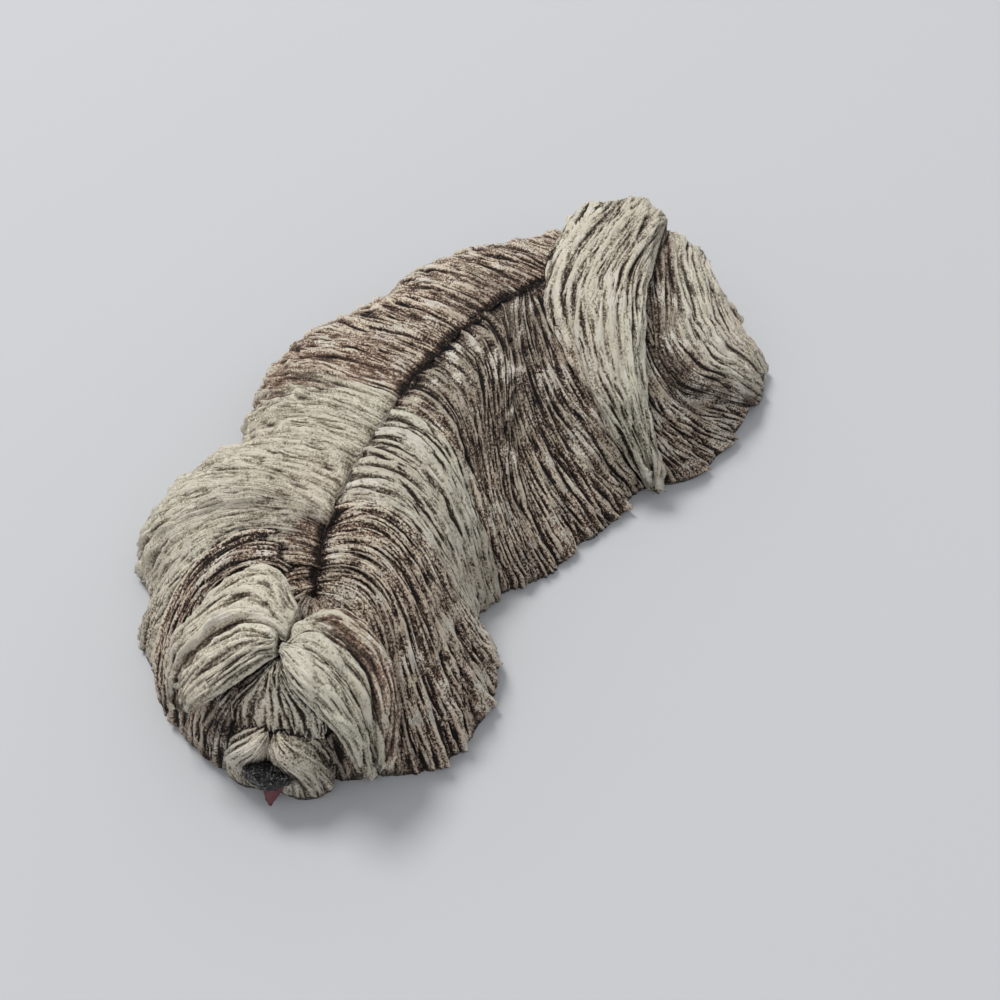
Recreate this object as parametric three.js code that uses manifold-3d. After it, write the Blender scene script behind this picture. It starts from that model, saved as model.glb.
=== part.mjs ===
// A cast and painted figurine of a long-coated dog lying flat, its head turned to its left.
// Millimetres. +Y runs from the head to the tail, +X is the dog's left, and z = 0 is the flat underside.
// The coat is one mound combed from the parting along the back down to the table. The mane, the head's
// hair and the tail are curved leaves of hair lying on it, and all of it is one casting.

import * as THREE from 'three';
import { mergeVertices } from 'three/addons/utils/BufferGeometryUtils.js';
import Module from 'manifold-3d';

const wasm = await Module();
wasm.setup();

// Driving sizes of the whole figurine
const LENGTH = 182;
const WIDTH = 113;
const HEIGHT = 37;

// The pose is drawn on a grid this many steps long, wide and high
const GRID = { long: 182, wide: 113, high: 37 };
const stepX = WIDTH / GRID.wide;
const stepY = LENGTH / GRID.long;
const stepZ = HEIGHT / GRID.high;

// Carving
const LOCK_DEPTH = 1.3;
const LOCK_WIDTH = 7.5;
const RIM_HEIGHT = 1.8;
const RIM_UNDERCUT = 0.8;
const PARTING_GAP = 0.5;
const PARTING_DEPTH = 1.8;
// How much the columns' spacing at the parting counts against that at the foot
const ROOT_SPACING = 0.7;
// Rows stand closer together at the parting the larger this is
const ROW_CROWDING = 1.2;
// The share of a leaf's length over which it rises out of the coat at its root
const ROOT_RISE = 0.22;
// How full each mound is: the first number squares its shoulder, the second rounds it into the table
const COAT_ROUND = [2.3, 0.78];
const SKULL_ROUND = [2.3, 0.7];
const MUZZLE_ROUND = [2.8, 0.6];

// Head: where the topknot is gathered, how far the face is turned from the body's line, and the nose
// and tongue in the head's own steps
const KNOT = [9, -73];
const HEAD_TURN = THREE.MathUtils.degToRad(33);
const NOSE = { wide: 10.4, deep: 6.0, high: 6.8, side: -0.3, front: 15.8, up: 10.8 };
const TONGUE = { wide: 4.6, deep: 4.0, high: 3.2, side: 0.1, front: 16.4, up: 4.4 };

// The parting along the back, from the nape to the rump: [x, y, z] in steps
const PARTING = [
  [3, -59, 29], [-3, -50, 32], [-8, -42, 33], [-15, -27, 32], [-21, -10, 31],
  [-24, 6, 31], [-25, 24, 31], [-23, 38, 30], [-20, 52, 29], [-16, 65, 27],
];

// Where the coat meets the table, round from the dog's left cheek past the rump to its right cheek:
// [x, y, the point of the parting that the hair is combed from, its sideways bow and its sway]
const COAT_FOOT = [
  [31, -71, 0.0, 5, -4], [38, -63, 0.3, 5, -6], [40, -54, 0.7, 4.5, -6], [38, -44, 1.2, 3.5, -7],
  [33, -35, 1.8, 2, -8], [22, -30, 2.7, 4, -1], [20, -21, 3.9, 3, -4], [25, -9, 5.9, -3, -8],
  [24, 0, 6.3, -6.5, -6.5], [26, 9, 6.5, -9, -4], [25, 25, 6.9, -9, -4], [31, 35, 7.3, -4, -14],
  [32, 47, 7.7, -8, -18], [28.5, 65, 8.3, -13, -15], [20, 79, 8.8, -5, -5], [6, 87, 9, 0, 0],
  [-9, 90, 9, 0, 0], [-26, 87, 9, 0, 0], [-42, 76, 8.6, 2, 0], [-54, 62, 8.0, 3, 0],
  [-64, 46, 7.2, 3, 0], [-66, 31, 6.3, 3, 0], [-66, 17, 5.5, 3, 0], [-71.5, 2, 4.7, 3, 0],
  [-69, -13, 4.1, 3, 0], [-61, -26, 3.5, 2, 0], [-52.5, -37, 3.1, 1, 0], [-55.5, -49.5, 2.6, 0, 0],
  [-54.5, -60, 2.1, -2, 0], [-49, -70, 1.6, -4, 0], [-39, -76, 1.2, -5, 0], [-31, -84, 0.9, -6, 0],
  [-22, -87, 0.6, -5, 0], [-9, -84, 0.3, -2, 0], [5, -81, 0.0, 0, 0], [18, -77, 0.0, 2, 0],
];

// Masses under the coat: [x, y, radius, how far they lift it]
const MASSES = [
  [12, -40, 15, 3.5], [-36, -42, 16, 1.0], [8, 44, 17, 3.5], [6, -8, 16, 1.5], [8, 16, 15, 1.5],
];

// The skull and cheeks, in the head's own steps: [to the dog's left, forward, up]
const SKULL_RIDGE = [[0, -9, 28], [0, -2, 29], [0.5, 6, 27]];
const SKULL_FOOT = [
  [-27, 1, 0, 0, 0], [-24.5, 7, 0.6, 0, 0], [-19, 11, 1.2, 0, 0], [-12, 12.5, 1.7, 0, 0],
  [0, 12.5, 2, 0, 0], [11, 12, 1.7, 0, 0], [18, 10.5, 1.2, 0, 0], [22, 4, 0.9, 0, 0],
  [20, -8, 0.5, 0, 0], [8, -16, 0, 0, 0], [-8, -16, 0, 0, 0], [-21, -9, 0, 0, 0],
];
const MUZZLE_RIDGE = [[0.3, 7.5, 18], [0, 10, 17.5], [-0.3, 12.5, 15.5]];
const MUZZLE_FOOT = [
  [-7, 4, 0, 0, 0], [-11.5, 9.5, 0.5, 1, 0], [-12, 13.6, 1, 2, 0], [-7.6, 15.2, 1.5, 2, 0],
  [-0.5, 16.2, 2, 0, 0], [6, 16.2, 1.6, -2, 0], [10.2, 14.6, 1.1, -2, 0], [12.2, 11, 0.5, -1, 0],
  [8, 4, 0, 0, 0],
];

// Leaves of hair: the two edges from root to tip, how far the middle stands proud and how deep it sits
const HEAD_LEAVES = [
  { name: 'forehead', crown: 2.2, belly: 4, locks: 5, blunt: 2.2,
    left: [[-0.6, 2.5, 31], [-3.5, 5.5, 28.5], [-6.8, 8.8, 24.5], [-6.5, 11.2, 20.5]],
    right: [[1.6, 2.5, 31], [5.2, 5.8, 28.5], [10.2, 8.8, 24.5], [10.5, 10.8, 21.5]] },
  { name: 'right_ear', crown: 3.0, belly: 7, locks: 3, blunt: 1,
    left: [[2.0, -8, 34], [-5, -16, 34], [-14, -14, 30.5], [-21.5, -6, 22.5], [-24.5, 3, 14.5]],
    right: [[1.0, -1, 32], [-5, -1.5, 31.5], [-12, 0.5, 28], [-18, 3.5, 21.5], [-21, 6.5, 14]] },
  { name: 'right_bang', crown: 2.4, belly: 3.6, locks: 3, blunt: 1,
    left: [[-0.5, -1.5, 34], [-7, -2.0, 33.5], [-14, 1.0, 29.5], [-20.5, 5.5, 22.5]],
    right: [[0.2, 2.4, 33], [-4.6, 6.0, 31], [-10.8, 9.0, 26], [-17.5, 10.4, 20]] },
  { name: 'left_ear', crown: 3.0, belly: 8, locks: 4, blunt: 1,
    left: [[1.5, 1.5, 33], [7.5, 2.5, 32.5], [13.5, 5.5, 28.5], [17.5, 9.5, 20.5], [19.0, 12.5, 10]],
    right: [[1.5, -4, 34], [7.5, -10.5, 33.5], [16.5, -8.5, 30.5], [22.5, 0.5, 23], [22, 9.5, 11]] },
  { name: 'left_bang', crown: 2.6, belly: 3.6, locks: 3, blunt: 1,
    left: [[0.6, 2.2, 33], [4.0, 7.6, 31.5], [9.0, 10.4, 28], [14.2, 12.4, 21], [17.4, 13.6, 9]],
    right: [[1.0, 0.0, 34], [8.0, 1.5, 34], [14.5, 4.8, 29.5], [18.8, 9.0, 21], [19.0, 13.0, 9]] },
];
const BODY_LEAVES = [
  { name: 'right_mane', crown: 2.6, belly: 8, locks: 3, blunt: 1,
    left: [[-9, -47, 29], [-20, -57, 27.5], [-25, -67, 22], [-24.5, -77, 15], [-21, -85, 8], [-17, -89, 3]],
    right: [[0, -60, 28], [-7, -62, 30], [-13, -69, 26], [-14, -77, 20], [-12, -84, 13], [-9, -90, 3.5]] },
  { name: 'tail_over_back', crown: 5.2, belly: 9, locks: 5, blunt: 1.5,
    left: [[-40, 74, 6], [-36, 67, 24], [-27, 49, 30], [-16, 34, 31], [-3, 27, 29.5], [8, 22.5, 23.5],
      [17, 23.5, 15.5], [25, 26, 5]],
    right: [[-20, 90, 6], [-17, 84, 24], [-11, 73, 31.5], [-4.5, 61, 33], [1, 50, 30.5], [9, 39, 24],
      [18, 31.5, 15.5], [27, 28, 5]] },
  { name: 'tail_to_rump', crown: 2.4, belly: 9, locks: 4, blunt: 1.5,
    left: [[-24, 84, 8], [-18, 78, 25], [-8, 63, 31], [3, 50.5, 29.5], [11, 42, 26.5], [19, 42.5, 20],
      [25.5, 52, 12.5], [29, 63, 3]],
    right: [[-6, 89, 4], [-3, 86, 15], [1, 79.5, 19.5], [6, 78, 18], [11, 76.5, 15], [15.5, 75.5, 12],
      [19.5, 76, 8.5], [23, 77.5, 3]] },
];

const COAT_MESH = { around: 180, down: 9 };
const SKULL_MESH = { around: 40, down: 7 };
const MUZZLE_MESH = { around: 36, down: 6 };
const LEAF_MESH = { along: 11, across: 12, under: 3 };
const BALL_SEGMENTS = 12;

const bodyPoint = ([x, y, z]) => new THREE.Vector3(x * stepX, y * stepY, z * stepZ);

// The head's own steps to the body's, turned about the topknot
function headPoint([side, front, up]) {
  const x = KNOT[0] + side * Math.cos(HEAD_TURN) + front * Math.sin(HEAD_TURN);
  const y = KNOT[1] + side * Math.sin(HEAD_TURN) - front * Math.cos(HEAD_TURN);
  return bodyPoint([x, y, up]);
}

const curve = (points) => new THREE.CatmullRomCurve3(points, false, 'catmullrom', 0.5);

// A row of numbers read smoothly round a loop, at a place counted in entries
function readLoop(rows, column, place) {
  const count = rows.length;
  const first = Math.floor(place);
  const t = place - first;
  const [a, b, c, d] = [-1, 0, 1, 2].map((k) => rows[(first + k + count) % count][column]);
  const squared = 2 * a - 5 * b + 4 * c - d;
  const cubed = 3 * b - a - 3 * c + d;
  return 0.5 * (2 * b + (c - a) * t + squared * t ** 2 + cubed * t ** 3);
}

// A sharp-bottomed, round-topped ridge from 0 to 1, one for each unit of place
const ridge = (place) => Math.sqrt(Math.abs(Math.sin(Math.PI * place)));

function solidFrom(positions, triangles) {
  const geometry = new THREE.BufferGeometry();
  geometry.setAttribute('position', new THREE.Float32BufferAttribute(positions, 3));
  geometry.setIndex(triangles);
  return solidOf(geometry);
}

function solidOf(geometry) {
  geometry.deleteAttribute('normal');
  geometry.deleteAttribute('uv');
  const merged = mergeVertices(geometry, 1e-4);
  return new wasm.Manifold(new wasm.Mesh({
    numProp: 3,
    vertProperties: new Float32Array(merged.attributes.position.array),
    triVerts: new Uint32Array(merged.index.array),
  }));
}

// How far the masses under the coat lift a point, fading out towards the table
function liftOfMasses(x, y, t) {
  let lift = 0;
  for (const [mx, my, radius, height] of MASSES) {
    const far = ((x / stepX - mx) ** 2 + (y / stepY - my) ** 2) / radius ** 2;
    lift += height * stepZ * Math.exp(-far);
  }
  return lift * (1 - t ** 4);
}

// A mound of hair combed from a ridge line down to a closed foot line on the table
function mound({ ridgeLine, footRows, place, mesh, masses, lockWidth, round, crease }) {
  const line = curve(ridgeLine.map(place));
  const last = ridgeLine.length - 1;
  const count = footRows.length;

  // Columns evenly spaced along the foot line, or along the ridge line where that is longer
  const samples = count * 24;
  const rowAt = (k) => [0, 1, 2, 3, 4].map((column) => readLoop(footRows, column, k));
  const footAt = ([footX, footY]) => place([footX, footY, 0]);
  const rootAt = ([, , rootIndex]) => line.getPoint(THREE.MathUtils.clamp(rootIndex / last, 0, 1));
  const run = [0];
  let before = rowAt(0);
  for (let i = 1; i <= samples; i += 1) {
    const here = rowAt((i / samples) * count);
    const pace = footAt(here).distanceTo(footAt(before));
    const ridgePace = rootAt(here).distanceTo(rootAt(before));
    run.push(run[i - 1] + Math.max(pace, ROOT_SPACING * ridgePace));
    before = here;
  }
  const perimeter = run[samples];
  const locks = Math.round(perimeter / lockWidth);

  const positions = [];
  const ring = mesh.around;
  for (let i = 0, s = 0; i < ring; i += 1) {
    const target = (i / ring) * perimeter;
    while (run[s + 1] < target) s += 1;
    const k = ((s + (target - run[s]) / (run[s + 1] - run[s])) / samples) * count;
    const row = rowAt(k);
    const [bow, sway] = row.slice(3);
    const root = rootAt(row);
    const foot = footAt(row);
    const reach = new THREE.Vector2(foot.x - root.x, foot.y - root.y);
    const length = reach.length();
    const sideways = new THREE.Vector2(-reach.y, reach.x).divideScalar(length);
    const clump = ridge((i / ring) * locks);
    const strand = ridge((i / ring) * locks * 2 + 0.3);
    for (let j = 0; j <= mesh.down; j += 1) {
      const t = Math.sin((j / mesh.down) * Math.PI * 0.5) ** ROW_CROWDING;
      const bend = 4 * t * (1 - t) * (bow + sway * (2 * t - 1)) * stepX;
      const start = PARTING_GAP / length;
      const out = start + (1 - start) * t;
      const x = root.x + reach.x * out + sideways.x * bend;
      const y = root.y + reach.y * out + sideways.y * bend;
      const fall = (1 - t ** round[0]) ** round[1];
      const carved = LOCK_DEPTH * (0.65 * clump + 0.35 * strand) * Math.min(1, t * 4 + 0.15);
      const lift = (masses ? liftOfMasses(x, y, t) : 0) - (j === 0 ? crease : 0);
      const rise = RIM_HEIGHT + (root.z - RIM_HEIGHT) * fall + lift;
      const spread = (carved - LOCK_DEPTH * 0.6) * t ** 2 * 1.6;
      positions.push(x + (reach.x / length) * spread, y + (reach.y / length) * spread,
        rise + (carved - LOCK_DEPTH * 0.5) * (1 - t ** 3));
    }
    const inset = RIM_UNDERCUT / length;
    positions.push(foot.x - reach.x * inset, foot.y - reach.y * inset, 0);
  }

  // Grid of columns, then the ridge line closed across and the flat underside
  const rows = mesh.down + 2;
  const triangles = [];
  for (let i = 0; i < ring; i += 1) {
    const a = i * rows;
    const b = ((i + 1) % ring) * rows;
    for (let j = 0; j < rows - 1; j += 1) {
      triangles.push(a + j, a + j + 1, b + j + 1, a + j, b + j + 1, b + j);
    }
  }
  closeLoop(positions, triangles, ring, rows, 0, true);
  closeLoop(positions, triangles, ring, rows, rows - 1, false);
  return solidFrom(positions, triangles);
}

// Closes one ring of a mound: the opening at the top, or the underside
function closeLoop(positions, triangles, ring, rows, row, top) {
  const flat = [];
  for (let i = 0; i < ring; i += 1) {
    const at = (i * rows + row) * 3;
    flat.push(new THREE.Vector2(positions[at], positions[at + 1]));
  }
  for (const [a, b, c] of THREE.ShapeUtils.triangulateShape(flat, [])) {
    const corners = [a, b, c].map((i) => i * rows + row);
    const turn = flat[b].clone().sub(flat[a]).cross(flat[c].clone().sub(flat[a]));
    if ((turn > 0) !== top) corners.reverse();
    triangles.push(...corners);
  }
}

// A leaf of hair between two edges: rings round it from root to tip, carved on its upper side
function leaf({ left, right, crown, belly, locks, blunt, place }) {
  const leftEdge = curve(left.map(place));
  const rightEdge = curve(right.map(place));
  const { along, across, under } = LEAF_MESH;
  const ring = across + under;
  const positions = [];
  for (let j = 0; j <= along; j += 1) {
    const v = j / along;
    const l = leftEdge.getPoint(v);
    const r = rightEdge.getPoint(v);
    const chord = r.clone().sub(l);
    const ahead = leftEdge.getTangent(v).add(rightEdge.getTangent(v)).normalize();
    const normal = chord.clone().cross(ahead).normalize();
    if (normal.z < 0) normal.negate();
    const taper = Math.sqrt(Math.max(0, 1 - (2 * Math.max(0, v - 0.5)) ** 4)) * 0.85 + 0.15;
    const risen = THREE.MathUtils.smoothstep(v + 0.05, 0, ROOT_RISE);
    for (let i = 0; i < ring; i += 1) {
      const upper = i <= across;
      const u = upper ? i / across : 1 - (i - across) / under;
      const arch = Math.sqrt(Math.max(0, 4 * u * (1 - u)));
      const hair = upper ? LOCK_DEPTH * (ridge(u * locks + 0.15 * Math.sin(3 * v)) - 0.5) * arch : 0;
      const lift = (upper ? (crown * stepZ * arch + hair) * risen : -belly * stepZ * arch) * taper;
      const point = l.clone().addScaledVector(chord, u).addScaledVector(normal, lift);
      point.addScaledVector(ahead, blunt * stepY * arch * v ** 6);
      positions.push(point.x, point.y, Math.max(point.z, 0));
    }
  }
  const triangles = [];
  const wrap = (i) => (i + ring) % ring;
  for (let j = 0; j < along; j += 1) {
    for (let i = 0; i < ring; i += 1) {
      const a = j * ring + i;
      const b = j * ring + wrap(i + 1);
      triangles.push(a, b, b + ring, a, b + ring, a + ring);
    }
  }
  for (const [row, outward] of [[0, -1], [along, 1]]) {
    const centre = positions.length / 3;
    const middle = new THREE.Vector3();
    for (let i = 0; i < ring; i += 1) {
      middle.add(new THREE.Vector3().fromArray(positions, (row * ring + i) * 3));
    }
    positions.push(...middle.divideScalar(ring).toArray());
    for (let i = 0; i < ring; i += 1) {
      const a = row * ring + i;
      const b = row * ring + wrap(i + 1);
      triangles.push(...(outward > 0 ? [a, b, centre] : [b, a, centre]));
    }
  }
  const solid = solidFrom(positions, triangles);
  return solid.volume() > 0 ? solid : solidFrom(positions, flipped(triangles));
}

function flipped(triangles) {
  const turned = [];
  for (let i = 0; i < triangles.length; i += 3) {
    turned.push(triangles[i], triangles[i + 2], triangles[i + 1]);
  }
  return turned;
}

function ball({ wide, deep, high, side, front, up }) {
  const geometry = new THREE.SphereGeometry(0.5, BALL_SEGMENTS, BALL_SEGMENTS / 2);
  const centre = headPoint([side, front, up]);
  geometry.rotateX(Math.PI / 2);
  geometry.scale(wide * stepX, deep * stepY, high * stepZ);
  geometry.rotateZ(HEAD_TURN);
  geometry.translate(centre.x, centre.y, centre.z);
  return solidOf(geometry);
}

function dogSolid() {
  const coat = {
    ridgeLine: PARTING, footRows: COAT_FOOT, place: bodyPoint, mesh: COAT_MESH,
    masses: true, lockWidth: LOCK_WIDTH, round: COAT_ROUND, crease: PARTING_DEPTH,
  };
  const skull = {
    ridgeLine: SKULL_RIDGE, footRows: SKULL_FOOT, place: headPoint, mesh: SKULL_MESH,
    masses: false, lockWidth: LOCK_WIDTH, round: SKULL_ROUND, crease: 0,
  };
  const muzzle = {
    ridgeLine: MUZZLE_RIDGE, footRows: MUZZLE_FOOT, place: headPoint, mesh: MUZZLE_MESH,
    masses: false, lockWidth: LOCK_WIDTH / 2, round: MUZZLE_ROUND, crease: 0,
  };
  const pieces = [
    mound(skull),
    mound(muzzle),
    ...BODY_LEAVES.map((row) => leaf({ ...row, place: bodyPoint })),
    ...HEAD_LEAVES.map((row) => leaf({ ...row, place: headPoint })),
    ball(NOSE),
    ball(TONGUE),
  ];
  return pieces.reduce((dog, piece) => dog.add(piece), mound(coat));
}

function geometryOf(solid) {
  const { vertProperties, triVerts } = solid.getMesh();
  const geometry = new THREE.BufferGeometry();
  geometry.setAttribute('position', new THREE.Float32BufferAttribute(vertProperties, 3));
  geometry.setIndex(new THREE.Uint32BufferAttribute(triVerts, 1));
  return geometry;
}

const castResin = new THREE.MeshStandardMaterial({ color: 0x85766a, roughness: 0.85, metalness: 0 });

const dog = new THREE.Mesh(geometryOf(dogSolid()), castResin);
dog.name = 'dog_figurine';

// The origin is under the middle of the figurine
dog.geometry.computeBoundingBox();
const middle = dog.geometry.boundingBox.getCenter(new THREE.Vector3());
dog.position.set(-middle.x, -middle.y, 0);

const figurine = new THREE.Group();
figurine.add(dog);

export default figurine;
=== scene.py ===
# A cast and painted figurine of a long-coated dog, lying flat with its head turned to its left.
# The forms are those of the solid, and the coat is combed on them strand by strand, as one mesh.
# Lengths are in millimetres up to the mesh itself, and in metres from there on.
import math

import bpy
import numpy as np
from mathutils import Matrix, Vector


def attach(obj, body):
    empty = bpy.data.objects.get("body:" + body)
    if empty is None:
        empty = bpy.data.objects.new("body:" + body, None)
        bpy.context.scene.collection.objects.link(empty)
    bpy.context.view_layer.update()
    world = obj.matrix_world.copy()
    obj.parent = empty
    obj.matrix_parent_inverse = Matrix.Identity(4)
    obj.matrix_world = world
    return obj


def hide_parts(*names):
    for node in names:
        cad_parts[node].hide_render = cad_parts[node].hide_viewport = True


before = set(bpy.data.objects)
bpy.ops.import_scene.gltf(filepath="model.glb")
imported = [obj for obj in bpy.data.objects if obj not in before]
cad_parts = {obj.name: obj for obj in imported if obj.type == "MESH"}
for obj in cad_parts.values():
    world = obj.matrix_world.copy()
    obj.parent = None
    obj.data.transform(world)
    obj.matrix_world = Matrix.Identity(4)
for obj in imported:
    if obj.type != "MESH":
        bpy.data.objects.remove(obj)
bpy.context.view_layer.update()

MM = 0.001
# From the drawing's zero to the middle of the figurine's box
SHIFT = np.array([15.69, 1.29, 0.0])
# The rim at the foot of each mound, and how far in its underside lies
RIM_HEIGHT = 1.8
RIM_UNDERCUT = 0.8
# No point of the carving comes nearer to the table than this
LEAST_HEIGHT = 0.05
# The parting: how far from it the hair starts, how far it strays, and its furrow's depth and width
PARTING_GAP = 0.25
PARTING_WOBBLE = 0.7
PARTING_DEPTH = 1.1
PARTING_WIDTH = 1.5
# The share of a leaf's length that rises from the coat, and how deep its edges go under
ROOT_RISE = 0.22
EDGE_SINK = 1.2
# How deep an edge that stands proud is let into the hair under it, and the most it is let down
SETTLE_DEPTH = 0.8
SETTLE_MOST = 3.5
# How full each mound is: the powers of its fall from the ridge to the foot
COAT_ROUND = (2.3, 0.78)
SKULL_ROUND = (2.3, 0.7)
MUZZLE_ROUND = (2.8, 0.6)
# The knot of hair on the head, and the head's turn about it
KNOT = (9, -73)
HEAD_TURN = math.radians(33)

# How far neighbouring strands sway together, and over what distance
SWAY = 0.5
SWAY_LENGTH = 13
# How much strands vary, as shares of what is asked for: in length and width, and in height
SIZE_SPREAD = (0.55, 1.5)
HEIGHT_SPREAD = (0.6, 1.0)
# The share of a strand that lies before the spot it is put on
BEFORE_SPOT = (0.2, 0.8)
# Dimples along a strand's crest
DIMPLE_DEPTH = 0.16
DIMPLE_LENGTH = (5, 11)
# How far to the side a strand's crest may lie, as a share of its half-width
CREST_SPREAD = 0.35
CREST_MOST = 0.8
# Flat knife-cut planes, and the thin ridges that cross them
PLANE_HEIGHT = 1.9
RIDGE_HEIGHT = 1.1
# The carving is set against its mean over these lengths to find crests and hollows
STRAND_BLUR = 2.2
CLUMP_BLUR = 8.0
# The height of the grain that is left on every carved surface
GRAIN = 0.06
# The paint's tone on the hidden faces that close a form
HIDDEN_TONE = 0.3
# Each form's streaks start this much further on
FLOW_STEP = 7.3
# What the paint reads at each point, from 0 to 1
FIELDS = ("tone", "white", "dark", "deep", "calm", "nose", "tongue")

PARTING = [
    (3, -59, 29), (-3, -50, 32), (-8, -42, 33), (-15, -27, 32), (-21, -10, 31),
    (-24, 6, 31), (-25, 24, 31), (-23, 38, 30), (-20, 52, 29), (-16, 65, 27),
]
# Each foot point has its root on the parting, and how far its hair bows and sways sideways
COAT_FOOT = [
    (31, -71, 0.0, 5, -4), (38, -63, 0.3, 5, -6), (40, -54, 0.7, 4.5, -6), (38, -44, 1.2, 3.5, -7),
    (33, -35, 1.8, 2, -8), (22, -30, 2.7, 4, -1), (20, -21, 3.9, 3, -4), (25, -9, 5.9, -3, -8),
    (24, 0, 6.3, -6.5, -6.5), (26, 9, 6.5, -9, -4), (25, 25, 6.9, -9, -4), (31, 35, 7.3, -4, -14),
    (32, 47, 7.7, -8, -18), (28.5, 65, 8.3, -13, -15), (20, 79, 8.8, -5, -5), (6, 87, 9, 0, 0),
    (-9, 90, 9, 0, 0), (-26, 87, 9, 0, 0), (-42.5, 77, 8.6, 2, 0), (-55, 63, 8.0, 3, 0),
    (-65, 46, 7.2, 3, 0), (-67, 31, 6.3, 3, 0), (-67, 17, 5.5, 3, 0), (-72.3, 2, 4.7, 3, 0),
    (-70, -13, 4.1, 3, 0), (-62, -26, 3.5, 2, 0), (-54.5, -37.5, 3.1, 1, 0), (-58, -50.5, 2.6, 0, 0),
    (-57, -60, 2.1, -2, 0), (-50.5, -70, 1.6, -4, 0), (-39, -76, 1.2, -5, 0), (-31, -84, 0.9, -6, 0),
    (-22, -87, 0.6, -5, 0), (-9, -84, 0.3, -2, 0), (5, -81, 0.0, 0, 0), (18, -77, 0.0, 2, 0),
]
# The foot points from this one on are the far side's
FAR_START = 16
# Swells and valleys of the coat: x, y, radius and height
MASSES = [
    (12, -40, 15, 3.5), (-36, -42, 16, 1.0), (8, 44, 17, 3.5), (6, -8, 16, 1.5), (8, 16, 15, 1.5),
    (-4, 4, 4, -1.0), (3, 0, 4, -2.0), (9, -6, 4, -2.4), (14, -12, 4, -2.4), (19, -17, 3.5, -1.8),
    (3, 13, 5, -1.2), (10, 9, 4.5, -1.6), (16, 7, 4.5, -1.4),
    (29, 53, 5, 2.8), (28, 40, 5, 2.8), (27, 29, 5, 2.0), (22, 47, 4, -2.0), (22, 34, 4, -1.6),
]
# Painted shade and darker wash in the hollows of the brown coat: x, y, radius and strength
SHADES = [
    (-27, 32, 7, 0.7), (-30, 22, 6, 0.5), (-11, -11, 6, 0.35), (3, 0, 7, 0.5), (9, -6, 7, 0.5),
    (6, 16, 9, 0.5), (13, 19, 8, 0.45), (24, -54, 8, 0.4), (21, -43, 6, 0.3), (16, 34, 6, 0.6),
    (10, 45, 8, 0.7), (20, 44, 8, 0.8), (27, 52, 6, 0.6), (29, 38, 6, 0.3), (-15, -59, 6, 0.6),
    (-16, -72, 6, 0.5), (-8, -50, 4, 0.4),
]

# From here on in the head's own steps: to the dog's left, forward and up
SKULL_RIDGE = [(0, -9, 28), (0, -2, 29), (0.5, 6, 27)]
SKULL_FOOT = [
    (-27, 1, 0, 0, 0), (-24.5, 7, 0.6, 0, 0), (-19, 11, 1.2, 0, 0), (-12, 12.5, 1.7, 0, 0),
    (0, 12.5, 2, 0, 0), (11, 12, 1.7, 0, 0), (18, 10.5, 1.2, 0, 0), (22, 4, 0.9, 0, 0),
    (20, -8, 0.5, 0, 0), (8, -16, 0, 0, 0), (-8, -16, 0, 0, 0), (-21, -9, 0, 0, 0),
]
# No eyes show through the hair: two spots of painted shade darken the skull under its fringe
EYE_SHADE_SPOTS = ((-9.5, 10, 0), (9.5, 10, 0))
MUZZLE_RIDGE = [(0.3, 7.5, 20.5), (0, 10, 19.6), (-0.3, 12.5, 16.8)]
MUZZLE_FOOT = [
    (-7, 4, 0, 0, 0), (-11.5, 9.5, 0.5, 2, 0), (-12, 13.6, 1, 3, 0), (-7.6, 15.2, 1.5, 3, 0),
    (-0.5, 16.2, 2, 0, 0), (6, 16.2, 1.6, -3, 0), (10.2, 14.6, 1.1, -3, 0), (12.2, 11, 0.5, -2, 0),
    (8, 4, 0, 0, 0),
]
NOSE = (-0.7, 16.2, 10.2)
NOSE_SIZE = (9.2, 5.6, 6.6)
# The black around the nose fades over this box
NOSE_REACH = (10, 10, 7.6)
TONGUE = (
    [(-2.4, 13.5, 6.5), (-2.8, 16.4, 5.2), (-2.2, 18.0, 3.6), (-1.0, 18.9, 2.2)],
    [(1.4, 13.5, 6.5), (1.6, 16.4, 5.2), (0.7, 18.0, 3.6), (-0.4, 18.9, 2.2)],
)
# Each leaf: its left and right edge, crown, belly, bluntness, and points across and along it
HEAD_LEAVES = {
    "forehead": (
        [(-0.6, 2.5, 31), (-4.5, 5.5, 28), (-9, 8.2, 23), (-9.5, 10.8, 18.5)],
        [(1.6, 2.5, 31), (5.6, 5.6, 28), (11.4, 8.2, 23.5), (12.5, 10.4, 19.5)],
        2.2, 4, 2.2, 64, 24,
    ),
    "right_ear": (
        [(2, -8, 34), (-5, -16, 34), (-14, -14, 30.5), (-21.5, -6, 22.5), (-24, 3, 12.5)],
        [(1, -1, 32), (-5, -1.5, 31.5), (-12, 0.5, 28), (-18, 3.5, 21.5), (-20.6, 6.3, 12)],
        3.0, 7, 1, 60, 45,
    ),
    "right_bang": (
        [(-0.5, -1.5, 34), (-7, -2, 33.5), (-14, 1, 29.5), (-20.5, 5.5, 22.5)],
        [(0.2, 2.4, 33), (-4.6, 6, 31), (-10.8, 9, 26), (-17.5, 10.4, 20)],
        2.4, 3.6, 1, 44, 36,
    ),
    "left_ear": (
        [(1.5, 1.5, 33), (7.5, 2.5, 32.5), (13.5, 5.5, 28.5), (17.2, 9.2, 20.5), (18.2, 10.5, 9.5)],
        [(1.5, -4, 34), (7.5, -10.5, 33.5), (16.5, -8.5, 30.5), (22.5, 0.5, 23), (21.2, 7.6, 10)],
        3.0, 8, 1, 60, 48,
    ),
    "left_bang": (
        [(0.6, 2.2, 33), (4, 7.6, 31.5), (9, 10.4, 28), (13.8, 12.0, 21), (16.4, 12, 9)],
        [(1, 0, 34), (8, 1.5, 34), (14.5, 4.8, 29.5), (18.4, 8.6, 21), (18.2, 11.2, 9)],
        2.6, 3.6, 1, 44, 44,
    ),
}
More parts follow.
